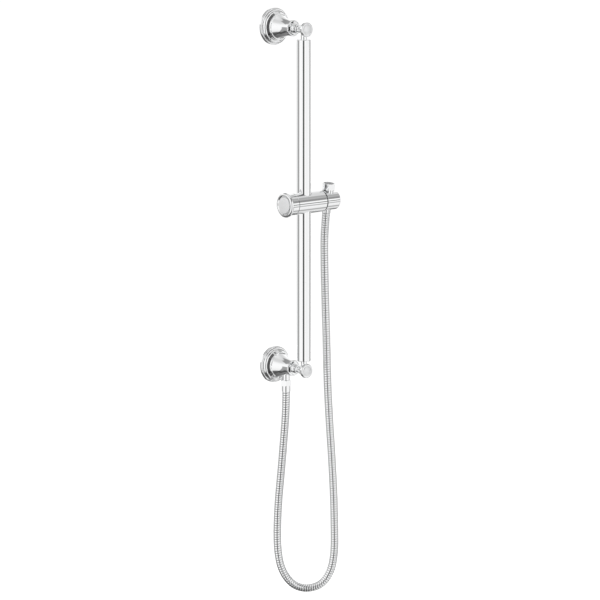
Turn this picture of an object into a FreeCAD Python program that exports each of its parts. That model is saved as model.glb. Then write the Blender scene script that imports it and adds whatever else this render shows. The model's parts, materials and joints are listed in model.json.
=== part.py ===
"""Shower slide rail with two bell brackets, a push button slider, a swivel cradle and a metal hose.

Millimetres. The origin is the centre of the lower bracket's wall face, +Z runs up the rail and the
front of the rail faces -Y, away from the wall.
"""

import FreeCAD, Part
import math
import os
import Sketcher

# Driving dimensions: alias, value, meaning
DIMENSIONS = (
    ("bracket_spacing", 610.0, "between the axes of the two brackets"),
    ("rail_standoff", 82.0, "from the wall to the rail's axis"),
    ("rail_radius", 12.7, "outside of the rail tube"),
    ("rail_wall", 1.5, "wall of the rail tube"),
    ("rail_gap", 17.5, "from a bracket's axis to the end of the rail"),
    ("slip_gap", 0.05, "radial clearance of pieces that stay put"),
    ("plug_flange", 4.2, "height of a rail plug's visible end ring"),
    ("plug_edge", 1.3, "rounding of that end ring"),
    ("plug_depth", 14.0, "length of a plug inside the rail"),
    ("plug_neck_radius", 5.75, "neck between rail and hub"),
    ("plug_neck_seat", 8.3, "height at which the neck seats in the hub"),
    ("stud_radius", 4.0, "stud of the rail plug"),
    ("stud_reach", 4.0, "length of the stud past the hub's axis"),
    ("end_gap", 0.4, "axial clearance at the blind end of a hole"),
    ("flange_radius", 33.1, "wall flange"),
    ("flange_height", 5.0, "height of the flange's rim"),
    ("flange_round", 2.6, "rounding of the flange's rim"),
    ("groove_width", 0.8, "groove between rim and bead"),
    ("groove_depth", 0.9, "depth of that groove"),
    ("bead_inset", 3.1, "foot of the bead inside the flange's edge"),
    ("bead_height", 5.0, "height of the bead"),
    ("bead_top_radius", 26.4, "top of the bead"),
    ("bead_bulge", 1.0, "how far the bead swells"),
    ("slope_radius", 26.0, "foot of the slope above the bead"),
    ("slope_height", 4.0, "height of the slope"),
    ("slope_end_radius", 22.0, "top of the slope"),
    ("bell_ring_radius", 23.0, "small ring at the foot of the bell"),
    ("bell_ring_height", 3.6, "height of that ring"),
    ("bell_ring_bulge", 0.7, "how far the ring swells"),
    ("bell_base_radius", 21.6, "foot of the bell"),
    ("bell_length", 31.0, "length of the bell"),
    ("bell_hollow", 1.9, "how far the bell is hollowed like a trumpet"),
    ("collar_step", 0.6, "step from the bell's end to its collar"),
    ("collar_height", 5.0, "height of the collar"),
    ("collar_wall", 2.1, "collar wall round the lock nut"),
    ("collar_round", 1.4, "rounding of the collar's front edge"),
    ("shell_wall", 2.6, "wall of the hollow bell"),
    ("rim_width", 3.6, "width of the rim that meets the wall"),
    ("lock_nut_flats", 21.0, "lock nut across flats"),
    ("lock_nut_height", 5.4, "height of a lock nut"),
    ("lock_nut_depth", 3.0, "how deep a lock nut sits in the collar"),
    ("nut_gap", 0.4, "clearance round a nut's corners"),
    ("nut_chamfer", 1.0, "chamfer on the corners of a nut"),
    ("hose_nut_turn", 20.0, "degrees that the hose's nuts are turned"),
    ("post_radius", 8.0, "post inside the bell"),
    ("post_stud_radius", 6.0, "threaded end of a post"),
    ("post_neck_radius", 6.6, "neck of the post in front of the nut"),
    ("post_collar_width", 4.6, "width of the ring against the nut"),
    ("post_ring_radius", 7.8, "foot of the two rings on the neck"),
    ("post_ring_width", 3.0, "width of the ring at the flare"),
    ("post_ring_bulge", 0.8, "how far the rings swell"),
    ("hub_radius", 13.0, "hub that holds the rail"),
    ("hub_front", 10.0, "hub in front of the rail's axis"),
    ("hub_rim", 5.0, "width of the hub's rim"),
    ("hub_flare", 21.5, "length of the flare from neck to rim"),
    ("hub_hollow", 1.2, "how far the flare is hollowed"),
    ("hub_edge", 2.2, "rounding of the hub's front edge"),
    ("cap_radius", 9.3, "end cap in the hub"),
    ("cap_seat", 2.5, "depth of the end cap's seat"),
    ("cap_proud", 0.9, "rim of the end cap in front of the hub"),
    ("cap_dome", 1.7, "height of the end cap's dome"),
    ("clamp_radius", 3.0, "grub screw that holds a stud"),
    ("clamp_socket_flats", 3.0, "hexagon socket of a grub screw"),
    ("clamp_socket_depth", 1.6, "depth of that socket"),
    ("plate_radius", 22.0, "wall plate under the upper bell"),
    ("plate_thickness", 5.0, "thickness of the wall plate"),
    ("plate_boss_radius", 11.0, "boss of the wall plate"),
    ("plate_boss_height", 16.0, "height of the boss from the wall"),
    ("plate_hole_radius", 2.6, "screw holes of the wall plate"),
    ("plate_hole_reach", 16.0, "from the plate's centre to a screw hole"),
    ("inlet_radius", 9.3, "bore of the water inlet"),
    ("inlet_depth", 18.0, "depth of the water inlet"),
    ("inlet_wall", 4.7, "wall of the inlet boss"),
    ("back_depth", 11.0, "depth of the hollow round the inlet boss"),
    ("waterway_radius", 6.0, "bore behind the inlet"),
    ("waterway_wall", 2.4, "between the waterway and the post's stud"),
    ("outlet_reach", 33.0, "from the wall to the outlet's axis"),
    ("outlet_bore", 4.2, "bore of outlet, ferrules and washers"),
    ("nipple_radius", 6.8, "outlet nipple"),
    ("nipple_seat", 8.5, "depth below the bracket's axis where the nipple seats"),
    ("nipple_thread_radius", 7.5, "threaded end of the nipple inside the hose nut"),
    ("nipple_thread_length", 5.4, "length of that end"),
    ("outlet_drop", 24.5, "from the bracket's axis down to the hose nut"),
    ("valve_radius", 5.0, "check valve cartridge in the nipple"),
    ("valve_length", 8.0, "length of the check valve"),
    ("valve_wall", 1.6, "wall of the check valve's body"),
    ("valve_poppet_radius", 2.2, "poppet of the check valve"),
    ("hose_nut_flats", 18.4, "lower hose nut across flats"),
    ("hose_nut_height", 10.5, "height of the lower hose nut"),
    ("hose_nut_lip", 1.5, "lip that holds the hose in the nut"),
    ("washer_thickness", 1.6, "flat seals in the hose nuts"),
    ("tail_flange", 1.6, "flange of a ferrule inside its nut"),
    ("tail_radius", 5.8, "neck of a ferrule through its nut"),
    ("ferrule_radius", 8.1, "crimped sleeve on the hose"),
    ("ferrule_length", 10.0, "length of that sleeve"),
    ("ferrule_socket", 7.8, "depth of the hose in its sleeve"),
    ("hose_radius", 7.25, "outside of the hose"),
    ("hose_fit", 0.1, "clearance of the hose in its sleeves"),
    ("slider_height", 302.0, "slider's axis above the lower bracket's axis"),
    ("yoke_gap", 0.3, "brake yoke off the rail"),
    ("yoke_wall", 2.2, "side walls of the brake yoke"),
    ("yoke_height", 14.0, "height of the brake yoke"),
    ("yoke_left", 21.0, "yoke from the rail's axis towards the button"),
    ("yoke_right", 19.0, "yoke from the rail's axis towards the spring"),
    ("yoke_round", 3.0, "rounding of the yoke's corners"),
    ("bore_gap", 0.27, "yoke inside the barrel's bore"),
    ("barrel_wall", 2.2, "wall of the slider barrel"),
    ("barrel_left", 26.0, "barrel's shoulder towards the button"),
    ("barrel_right", 39.5, "barrel's end towards the cradle"),
    ("barrel_end_wall", 9.5, "thickness of that end"),
    ("barrel_edge", 1.2, "rounding of the barrel's edges"),
    ("spigot_length", 5.0, "barrel's spigot inside the bezel"),
    ("spigot_wall", 1.0, "wall of that spigot"),
    ("bush_gap", 0.05, "running clearance of the rail bushes"),
    ("bush_wall", 1.55, "wall of a rail bush"),
    ("bush_margin", 0.6, "bush below the barrel's outside"),
    ("bush_lift", 1.0, "bush clear of the yoke"),
    ("rail_hole_gap", 0.45, "barrel off the rail"),
    ("bezel_length", 21.0, "button bezel from the barrel's shoulder to its face"),
    ("bezel_step", 2.7, "bezel's rim proud of the barrel"),
    ("bezel_rim", 5.2, "length of the bezel's rim"),
    ("bezel_flare", 1.6, "length of the flare up to the rim"),
    ("bezel_rim_bulge", 1.8, "how far the rim swells"),
    ("bezel_face_width", 2.6, "face of the rim round the button"),
    ("bezel_dish", 2.2, "how far that face is dished"),
    ("joint_chamfer", 0.5, "chamfers at the barrel and bezel joint"),
    ("button_radius", 14.6, "release button"),
    ("button_gap", 0.3, "clearance round the button"),
    ("button_proud", 0.9, "button in front of the bezel"),
    ("button_dome", 0.8, "dome of the button's face"),
    ("button_edge", 1.0, "rounding of the button's edge"),
    ("button_body", 8.6, "length of the button in front of its flange"),
    ("button_flange", 2.0, "thickness of the button's flange"),
    ("button_stem_radius", 6.5, "stem from button to yoke"),
    ("button_travel", 3.0, "how far the button goes in"),
    ("spring_wire", 0.8, "radius of the spring's wire"),
    ("spring_gap", 1.0, "spring inside the barrel's bore"),
    ("spring_turns", 3.0, "turns of the spring"),
    ("swivel_gap", 2.2, "between barrel and cradle"),
    ("swivel_washer", 2.1, "thickness of the swivel washer"),
    ("swivel_inset", 0.7, "swivel washer inside the barrel's outside"),
    ("pivot_radius", 8.0, "cradle's pivot in the barrel's end"),
    ("pivot_screw_radius", 3.0, "screw that holds the pivot"),
    ("pivot_screw_head", 5.0, "radius of that screw's head"),
    ("pivot_head_height", 3.6, "height of that screw's head"),
    ("pivot_screw_length", 11.0, "screw inside the pivot"),
    ("retainer_radius", 12.0, "retaining washer"),
    ("retainer_thickness", 1.5, "thickness of the retaining washer"),
    ("cradle_radius", 17.65, "handset cradle"),
    ("cradle_length", 30.8, "length of the cradle"),
    ("cradle_round", 3.0, "rounding of the cradle's end"),
    ("socket_reach", 13.3, "from the cradle's near face to its socket"),
    ("slot_width", 15.6, "slot that the hose passes through"),
    ("rest_tilt", 8.0, "degrees that the socket leans outward at rest"),
    ("cone_nut_flats", 22.2, "coupling nut across flats"),
    ("cone_nut_height", 10.5, "height of the coupling nut's hexagon"),
    ("cone_nut_lift", 3.0, "hexagon above the cradle"),
    ("cone_top_radius", 10.7, "top of the coupling nut's cone"),
    ("cone_drop", 1.6, "how much narrower the cone is at its foot"),
    ("cone_length", 32.9, "length of the cone"),
    ("cone_fit", 0.1, "cone off its socket"),
    ("handset_thread_radius", 9.3, "threaded mouth of the coupling nut"),
    ("handset_thread_depth", 15.0, "depth of that mouth"),
    ("seal_step", 0.5, "how much narrower the seal's seat is than the mouth"),
)

# Route of the hose, from the lower sleeve down, round and up into the upper sleeve
HOSE_ROUTE = (
    (0.0, -33.0, -37.7),
    (0.0, -33.0, -76.0),
    (-3.1, -30.4, -130.0),
    (-6.7, -27.4, -188.0),
    (-10.7, -24.0, -244.0),
    (-12.7, -22.4, -296.0),
    (-12.1, -22.9, -342.0),
    (-6.1, -27.9, -378.0),
    (9.2, -40.7, -404.8),
    (30.3, -58.3, -412.0),
    (50.3, -75.0, -402.8),
    (62.9, -85.6, -376.5),
    (67.2, -89.2, -341.0),
    (67.1, -89.0, -298.0),
    (66.0, -88.2, -240.0),
    (63.4, -86.0, -172.0),
    (59.7, -82.9, -100.0),
    (56.8, -80.5, -26.0),
    (55.6, -79.5, 48.0),
    (54.6, -77.3, 118.0),
    (54.5, -74.9, 184.0),
    (55.0, -73.43, 240.97),
    (55.0, -79.69, 285.53),
)
# Share of the shorter run that an arc of the hose takes on each side of its point
ARC_SHARE = 0.45

# How far a quarter round stands off its chord, for a rounding of 1
QUARTER_BULGE = 1 - math.sqrt(0.5)
# Corner radius of a hexagon that is 1 across its flats
HEX_CORNER = 1 / math.sqrt(3)
# Cutting profiles run past the surface by this share of the size that they cut
PAST = 1.5

# A turned bracket piece is drawn along X and then faces away from the wall
AWAY_FROM_WALL = FreeCAD.Rotation(FreeCAD.Vector(0, 0, 1), -90)
UPSIDE_DOWN = FreeCAD.Rotation(FreeCAD.Vector(1, 0, 0), 180)
UPRIGHT = FreeCAD.Rotation()


class Size:
    """A number together with the sheet expression that it comes from."""

    def __init__(self, value, text):
        self.value = float(value)
        self.text = text

    def __add__(self, other):
        other = as_size(other)
        return Size(self.value + other.value, f"({self.text} + {other.text})")

    def __radd__(self, other):
        return as_size(other) + self

    def __sub__(self, other):
        other = as_size(other)
        return Size(self.value - other.value, f"({self.text} - {other.text})")

    def __rsub__(self, other):
        return as_size(other) - self

    def __mul__(self, other):
        other = as_size(other)
        return Size(self.value * other.value, f"({self.text} * {other.text})")

    def __rmul__(self, other):
        return as_size(other) * self

    def __truediv__(self, other):
        other = as_size(other)
        return Size(self.value / other.value, f"({self.text} / {other.text})")

    def __neg__(self):
        return Size(-self.value, f"(0 - {self.text})")

    def __abs__(self):
        return Size(abs(self.value), f"abs({self.text})")


def as_size(number):
    """A size as it is, or a plain number as a size."""
    if isinstance(number, Size):
        return number
    return Size(number, f"({float(number)})")


def root(size):
    """The square root of a size."""
    return Size(math.sqrt(size.value), f"sqrt({size.text})")


class Sheet:
    """The spreadsheet of driving dimensions. Its attributes are the sizes, by alias."""

    def __init__(self, document):
        sheet = document.addObject("Spreadsheet::Sheet", "dims")
        self.sizes = {}
        for row, (alias, value, meaning) in enumerate(DIMENSIONS, start=1):
            sheet.set(f"A{row}", alias)
            sheet.set(f"B{row}", str(value))
            sheet.setAlias(f"B{row}", alias)
            sheet.set(f"C{row}", meaning)
            self.sizes[alias] = Size(value, f"dims.{alias}")
        document.recompute()

    def __getattr__(self, alias):
        return self.sizes[alias]


doc = FreeCAD.newDocument("shower_slide_rail")
dims = Sheet(doc)
pieces = []


# Drawing and features

def new_piece(label):
    """An empty body that becomes one node."""
    body = doc.addObject("PartDesign::Body", label)
    body.Label = label
    pieces.append(body)
    return body


def place(piece, across=0, out=0, up=0, rotation=UPRIGHT):
    """Put a piece across along X, out from the wall along -Y and up along Z."""
    piece.Placement = FreeCAD.Placement(FreeCAD.Vector(0, 0, 0), rotation)
    for axis, distance in (("x", as_size(across)), ("y", -as_size(out)), ("z", as_size(up))):
        piece.setExpression(f"Placement.Base.{axis}", distance.text)


def plane_of(body, role):
    """One of a body's own origin planes."""
    return next(item for item in body.Origin.OriginFeatures if item.Role == role)


def new_sketch(body, role, along=0, up=0, off=0):
    """A sketch on an origin plane, with its own origin moved along and up in the plane and off it."""
    sketch = body.newObject("Sketcher::SketchObject", f"{body.Name}_sketch")
    sketch.AttachmentSupport = (plane_of(body, role), [""])
    sketch.MapMode = "FlatFace"
    for axis, distance in (("x", along), ("y", up), ("z", off)):
        sketch.setExpression(f"AttachmentOffset.Base.{axis}", as_size(distance).text)
    return sketch


def bind(sketch, constraint, size):
    """Add a constraint to a sketch and tie it to the sheet."""
    index = sketch.addConstraint(constraint)
    name = f"size{index}"
    sketch.renameConstraint(index, name)
    sketch.setExpression(f"Constraints.{name}", size.text)


def pin_point(sketch, edge, end, across, up):
    """Hold the end of an edge at a place, on an axis where the place is a plain 0."""
    for kind, axis, size in (("DistanceX", -2, across), ("DistanceY", -1, up)):
        if isinstance(size, Size):
            bind(sketch, Sketcher.Constraint(kind, -1, 1, edge, end, size.value), size)
        else:
            sketch.addConstraint(Sketcher.Constraint("PointOnObject", edge, end, axis))


def arc_radius(corner, following):
    """Radius of the arc that leaves a corner with a bulge."""
    across = as_size(following[0]) - corner[0]
    up = as_size(following[1]) - corner[1]
    bulge = corner[2]
    return ((across * across + up * up) / 4 + bulge * bulge) / (2 * abs(bulge))


def arc_edge(start, end, bulge):
    """An arc from start to end that stands off its chord to the left of the way by the bulge."""
    chord = end - start
    left = FreeCAD.Vector(-chord.y, chord.x, 0).normalize()
    middle = (start + end) * 0.5 + left * bulge
    return Part.Arc(start, middle, end)


def draw_loop(sketch, corners):
    """Draw a closed outline. A corner is (across, up), with a bulge where an arc leaves it."""
    points = [FreeCAD.Vector(as_size(c[0]).value, as_size(c[1]).value, 0) for c in corners]
    edges = []
    for number, corner in enumerate(corners):
        start = points[number]
        end = points[(number + 1) % len(points)]
        curved = len(corner) == 3
        shape = arc_edge(start, end, corner[2].value) if curved else Part.LineSegment(start, end)
        edge = sketch.addGeometry(shape)
        first = 1 if sketch.getPoint(edge, 1).distanceToPoint(start) < sketch.getPoint(
            edge, 2).distanceToPoint(start) else 2
        edges.append((edge, first))
    for number, (edge, first) in enumerate(edges):
        following, following_first = edges[(number + 1) % len(edges)]
        sketch.addConstraint(Sketcher.Constraint(
            "Coincident", edge, 3 - first, following, following_first))
        corner = corners[number]
        pin_point(sketch, edge, first, corner[0], corner[1])
        if len(corner) == 3:
            radius = arc_radius(corner, corners[(number + 1) % len(corners)])
            bind(sketch, Sketcher.Constraint("Radius", edge, radius.value), radius)


def draw_circle(sketch, across, up, radius):
    """Draw a circle in a sketch."""
    centre = FreeCAD.Vector(as_size(across).value, as_size(up).value, 0)
    edge = sketch.addGeometry(Part.Circle(centre, FreeCAD.Vector(0, 0, 1), radius.value))
    pin_point(sketch, edge, 3, across, up)
    bind(sketch, Sketcher.Constraint("Radius", edge, radius.value), radius)


def add_feature(body, kind, sketch):
    """Add a feature to a body from a sketch."""
    feature = body.newObject(f"PartDesign::{kind}", f"{body.Name}_{kind.lower()}")
    feature.Profile = sketch
    sketch.Visibility = False
    return feature


def turn(body, corners, axis="H_Axis", kind="Revolution", along=0):
    """Turn an outline on the XZ plane about the sketch's own axis."""
    sketch = new_sketch(body, "XZ_Plane", along=along)
    draw_loop(sketch, corners)
    feature = add_feature(body, kind, sketch)
    feature.ReferenceAxis = (sketch, [axis])
    feature.Angle = 360


def bore(body, corners, axis="H_Axis", along=0):
    """Turn a cut about the sketch's own axis."""
    turn(body, corners, axis, "Groove", along)


def raise_outline(body, sketch, length, symmetric=False):
    """Pad a sketch."""
    feature = add_feature(body, "Pad", sketch)
    feature.SideType = "Symmetric" if symmetric else "One side"
    feature.setExpression("Length", length.text)


def cut_through(body, sketch):
    """Cut a sketch right through the body, to both sides."""
    feature = add_feature(body, "Pocket", sketch)
    feature.Type = "ThroughAll"
    feature.SideType = "Symmetric"


def hexagon(across_flats):
    """Corners of a hexagon with two flats square to the first axis."""
    radius = across_flats * HEX_CORNER
    angles = [math.radians(30 + 60 * number) for number in range(6)]
    corners = [(radius * math.cos(angle), radius * math.sin(angle)) for angle in angles]
    # The second and fifth corner lie on the axis itself
    corners[1] = (0, radius)
    corners[4] = (0, -radius)
    return corners


def add_hexagon(body, role, across_flats, start, length, turned=0):
    """Pad a hexagon, turned by some degrees, along the axis that is square to the plane."""
    sketch = new_sketch(body, role, off=start)
    sketch.setExpression("AttachmentOffset.Rotation.Angle", as_size(turned).text)
    draw_loop(sketch, hexagon(across_flats))
    raise_outline(body, sketch, length)


def rounding(size):
    """Bulge of a quarter round."""
    return size * QUARTER_BULGE


def doming(radius, height):
    """Bulge of a dome's outline from its rim to its axis, which it meets square."""
    slope = root(radius * radius + height * height)
    return slope * (slope - radius) / (2 * height)


# Bracket sizes shared by several pieces

def bell_heights():
    """Distances from the wall of the steps on the bell's outside."""
    rim = dims.flange_height
    bead = rim + dims.groove_width
    slope = bead + dims.bead_height
    ring = slope + dims.slope_height
    bell = ring + dims.bell_ring_height
    collar = bell + dims.bell_length
    front = collar + dims.collar_height
    return {"rim": rim, "bead": bead, "slope": slope, "ring": ring, "bell": bell,
            "collar": collar, "front": front}


HEIGHTS = bell_heights()
BEAD_RADIUS = dims.flange_radius - dims.bead_inset
NUT_RECESS = dims.lock_nut_flats * HEX_CORNER + dims.nut_gap
COLLAR_RADIUS = NUT_RECESS + dims.collar_wall
BELL_END_RADIUS = COLLAR_RADIUS - dims.collar_step
NUT_SEAT = HEIGHTS["front"] - dims.lock_nut_depth
NUT_FRONT = NUT_SEAT + dims.lock_nut_height
HUB_END = dims.rail_standoff + dims.hub_front
HUB_START = HUB_END - dims.hub_rim
CAP_FLOOR = HUB_END - dims.cap_seat
POST_HOLE = dims.post_radius + dims.slip_gap
STUD_HOLE = dims.post_stud_radius + dims.slip_gap
WATERWAY_END = dims.outlet_reach + dims.outlet_bore
LOWER_STUD_END = WATERWAY_END + dims.waterway_wall


def bell_outside():
    """Outside of a bell as (distance from the wall, radius), from its back rim to its nut recess."""
    at = HEIGHTS
    ring_end = at["bell"]
    return [
        (0, dims.flange_radius),
        (dims.flange_height - dims.flange_round, dims.flange_radius, rounding(dims.flange_round)),
        (at["rim"], dims.flange_radius - dims.flange_round),
        (at["rim"], BEAD_RADIUS - dims.groove_depth),
        (at["bead"], BEAD_RADIUS - dims.groove_depth),
        (at["bead"], BEAD_RADIUS, dims.bead_bulge),
        (at["slope"], dims.bead_top_radius),
        (at["slope"], dims.slope_radius),
        (at["ring"], dims.slope_end_radius),
        (at["ring"], dims.bell_ring_radius, dims.bell_ring_bulge),
        (ring_end, dims.bell_ring_radius),
        (ring_end, dims.bell_base_radius, -dims.bell_hollow),
        (at["collar"], BELL_END_RADIUS),
        (at["collar"], COLLAR_RADIUS),
        (at["front"] - dims.collar_round, COLLAR_RADIUS, rounding(dims.collar_round)),
        (at["front"], COLLAR_RADIUS - dims.collar_round),
        (at["front"], NUT_RECESS),
        (NUT_SEAT, NUT_RECESS),
    ]


def back_hollow():
    """Hollow behind the flange, from the bell's foot to the rim on the wall."""
    inside = dims.flange_radius - dims.rim_width
    return [
        (HEIGHTS["slope"] - dims.shell_wall, dims.bead_top_radius - dims.shell_wall),
        (dims.flange_height - dims.shell_wall, inside),
        (0, inside),
    ]


def upper_escutcheon():
    """Hollow bell that covers the wall plate and slides on the post."""
    inner_base = dims.bell_base_radius - dims.shell_wall
    body = new_piece("upper_escutcheon")
    turn(body, bell_outside() + [
        (NUT_SEAT, POST_HOLE),
        (HEIGHTS["collar"], POST_HOLE),
        (HEIGHTS["collar"], BELL_END_RADIUS - dims.shell_wall, dims.bell_hollow),
        (HEIGHTS["bell"], inner_base),
        (HEIGHTS["ring"], inner_base),
    ] + back_hollow())
    place(body, up=dims.bracket_spacing, rotation=AWAY_FROM_WALL)


def upper_wall_plate():
    """Round plate screwed to the wall, with a threaded boss for the post."""
    body = new_piece("upper_wall_plate")
    turn(body, [
        (0, dims.plate_radius),
        (dims.plate_thickness, dims.plate_radius),
        (dims.plate_thickness, dims.plate_boss_radius),
        (dims.plate_boss_height, dims.plate_boss_radius),
        (dims.plate_boss_height, STUD_HOLE),
        (0, STUD_HOLE),
    ])
    holes = new_sketch(body, "YZ_Plane")
    for side in (1, -1):
        draw_circle(holes, side * dims.plate_hole_reach, 0, dims.plate_hole_radius)
    cut_through(body, holes)
    place(body, up=dims.bracket_spacing, rotation=AWAY_FROM_WALL)


def supply_body():
    """Lower bell: a casting with the water inlet at its back and the outlet at its underside."""
    boss = dims.inlet_radius + dims.inlet_wall
    body = new_piece("supply_body")
    turn(body, bell_outside() + [
        (NUT_SEAT, STUD_HOLE),
        (LOWER_STUD_END, STUD_HOLE),
        (LOWER_STUD_END, 0),
        (WATERWAY_END, 0),
        (WATERWAY_END, dims.waterway_radius),
        (dims.inlet_depth, dims.waterway_radius),
        (dims.inlet_depth, dims.inlet_radius),
        (0, dims.inlet_radius),
        (0, boss),
        (dims.back_depth, boss),
        (dims.back_depth, dims.bell_base_radius - dims.shell_wall),
    ] + back_hollow())
    hole = dims.nipple_radius + dims.slip_gap
    below = -dims.outlet_drop
    bore(body, [
        (0, 0),
        (dims.outlet_bore, 0),
        (dims.outlet_bore, -dims.nipple_seat),
        (hole, -dims.nipple_seat),
        (hole, below),
        (0, below),
    ], "V_Axis", along=dims.outlet_reach)
    place(body, rotation=AWAY_FROM_WALL)


def post(label, stud_tip, shoulder, up, rotation):
    """Turned post with a threaded stud, a ringed neck and a hub that holds the rail's stud."""
    collar = NUT_FRONT + dims.post_collar_width
    ring = HUB_START - dims.hub_flare - dims.post_ring_width
    flare = HUB_START - dims.hub_flare
    clamp_hole = dims.clamp_radius + dims.slip_gap
    cap_seat = dims.cap_radius + dims.slip_gap
    body = new_piece(label)
    turn(body, [
        (stud_tip, 0),
        (stud_tip, dims.post_stud_radius),
        (shoulder, dims.post_stud_radius),
        (shoulder, dims.post_radius),
        (NUT_FRONT, dims.post_radius),
        (NUT_FRONT, dims.post_ring_radius, dims.post_ring_bulge),
        (collar, dims.post_ring_radius),
        (collar, dims.post_neck_radius),
        (ring, dims.post_neck_radius),
        (ring, dims.post_ring_radius, dims.post_ring_bulge),
        (flare, dims.post_ring_radius),
        (flare, dims.post_neck_radius, -dims.hub_hollow),
        (HUB_START, dims.hub_radius),
        (HUB_END - dims.hub_edge, dims.hub_radius, rounding(dims.hub_edge)),
        (HUB_END, dims.hub_radius - dims.hub_edge),
        (HUB_END, cap_seat),
        (CAP_FLOOR, cap_seat),
        (CAP_FLOOR, clamp_hole),
        (dims.rail_standoff, clamp_hole),
        (dims.rail_standoff, 0),
    ])
    stud_hole = dims.stud_radius + dims.slip_gap
    neck_hole = dims.plug_neck_radius + dims.slip_gap
    outside = dims.hub_radius * PAST
    bore(body, [
        (0, -(dims.stud_reach + dims.end_gap)),
        (stud_hole, -(dims.stud_reach + dims.end_gap)),
        (stud_hole, dims.plug_neck_seat),
        (neck_hole, dims.plug_neck_seat),
        (neck_hole, outside),
        (0, outside),
    ], "V_Axis", along=dims.rail_standoff)
    place(body, up=up, rotation=rotation)


def end_cap(label, up, rotation):
    """Domed cap that closes the front of a hub."""
    rim = HUB_END + dims.cap_proud
    body = new_piece(label)
    turn(body, [
        (CAP_FLOOR, 0),
        (CAP_FLOOR, dims.cap_radius),
        (rim, dims.cap_radius, doming(dims.cap_radius, dims.cap_dome)),
        (rim + dims.cap_dome, 0),
    ])
    place(body, up=up, rotation=rotation)


def clamp_screw(label, up, rotation):
    """Grub screw behind the end cap, which holds the rail's stud."""
    tip = dims.rail_standoff + dims.stud_radius + dims.slip_gap
    back = CAP_FLOOR - dims.slip_gap
    body = new_piece(label)
    turn(body, [(tip, 0), (tip, dims.clamp_radius), (back, dims.clamp_radius), (back, 0)])
    sketch = new_sketch(body, "YZ_Plane", off=back)
    draw_loop(sketch, hexagon(dims.clamp_socket_flats))
    socket = add_feature(body, "Pocket", sketch)
    socket.setExpression("Length", dims.clamp_socket_depth.text)
    place(body, up=up, rotation=rotation)


def lock_nut(label, up):
    """Hexagon nut in the collar, which pulls the bell to the wall."""
    hole = dims.post_radius + dims.slip_gap
    corner = dims.lock_nut_flats * HEX_CORNER
    body = new_piece(label)
    add_hexagon(body, "YZ_Plane", dims.lock_nut_flats, NUT_SEAT, dims.lock_nut_height)
    bore(body, [(NUT_SEAT, 0), (NUT_SEAT, hole), (NUT_FRONT, hole), (NUT_FRONT, 0)])
    bore(body, [
        (NUT_FRONT, corner - dims.nut_chamfer),
        (NUT_FRONT, corner + dims.nut_gap),
        (NUT_FRONT - dims.nut_chamfer, corner + dims.nut_gap),
    ])
    place(body, up=up, rotation=AWAY_FROM_WALL)


# Rail

def rail_tube():
    """Round tube between the two plugs."""
    bottom = dims.rail_gap + dims.plug_flange
    top = dims.bracket_spacing - bottom
    inside = dims.rail_radius - dims.rail_wall
    body = new_piece("rail_tube")
    turn(body, [
        (inside, bottom), (dims.rail_radius, bottom), (dims.rail_radius, top), (inside, top),
    ], "V_Axis")
    place(body, out=dims.rail_standoff)


def rail_plug(label, up, rotation):
    """Plug in the end of the rail, with an end ring, a neck and a stud for the hub."""
    inside = dims.rail_radius - dims.rail_wall - dims.slip_gap
    ring_top = dims.rail_gap + dims.plug_flange
    body = new_piece(label)
    turn(body, [
        (0, -dims.stud_reach),
        (dims.stud_radius, -dims.stud_reach),
        (dims.stud_radius, dims.plug_neck_seat),
        (dims.plug_neck_radius, dims.plug_neck_seat),
        (dims.plug_neck_radius, dims.rail_gap),
        (dims.rail_radius - dims.plug_edge, dims.rail_gap, -rounding(dims.plug_edge)),
        (dims.rail_radius, dims.rail_gap + dims.plug_edge),
        (dims.rail_radius, ring_top),
        (inside, ring_top),
        (inside, ring_top + dims.plug_depth),
        (0, ring_top + dims.plug_depth),
    ], "V_Axis")
    place(body, out=dims.rail_standoff, up=up, rotation=rotation)


# Water outlet and the hose's lower end

NUT_BOTTOM = dims.outlet_drop + dims.hose_nut_height
LIP_TOP = NUT_BOTTOM - dims.hose_nut_lip
TAIL_TOP = LIP_TOP - dims.slip_gap - dims.tail_flange
NIPPLE_END = TAIL_TOP - dims.slip_gap - dims.washer_thickness - dims.slip_gap
THREAD_HOLE = dims.nipple_thread_radius + dims.slip_gap
VALVE_TOP = dims.nipple_seat + dims.end_gap


def outlet_nipple():
    """Nipple under the supply body, bored for the check valve."""
    seat = dims.valve_radius + dims.slip_gap
    valve_floor = VALVE_TOP + dims.valve_length
    thread_top = NIPPLE_END - dims.nipple_thread_length
    body = new_piece("outlet_nipple")
    turn(body, [
        (seat, -dims.nipple_seat),
        (dims.nipple_radius, -dims.nipple_seat),
        (dims.nipple_radius, -thread_top),
        (dims.nipple_thread_radius, -thread_top),
        (dims.nipple_thread_radius, -NIPPLE_END),
        (dims.outlet_bore, -NIPPLE_END),
        (dims.outlet_bore, -valve_floor),
        (seat, -valve_floor),
    ], "V_Axis")
    place(body, out=dims.outlet_reach)


def check_valve():
    """Check valve cartridge with a ring body, a bridge and a poppet on its stem."""
    top = -VALVE_TOP
    bottom = top - dims.valve_length
    inside = dims.valve_radius - dims.valve_wall
    body = new_piece("check_valve")
    turn(body, [
        (inside, bottom), (dims.valve_radius, bottom), (dims.valve_radius, top), (inside, top),
    ], "V_Axis")
    bridge = new_sketch(body, "XY_Plane", off=bottom)
    half = dims.valve_poppet_radius / 2
    reach = dims.valve_radius - dims.valve_wall / 2
    draw_loop(bridge, [(-reach, -half), (reach, -half), (reach, half), (-reach, half)])
    raise_outline(body, bridge, half)
    turn(body, [
        (0, bottom), (half, bottom), (half, top - dims.valve_length / 2),
        (dims.valve_poppet_radius, top - dims.valve_length / 4), (0, top - dims.valve_length / 4),
    ], "V_Axis")
    place(body, out=dims.outlet_reach)


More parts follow.
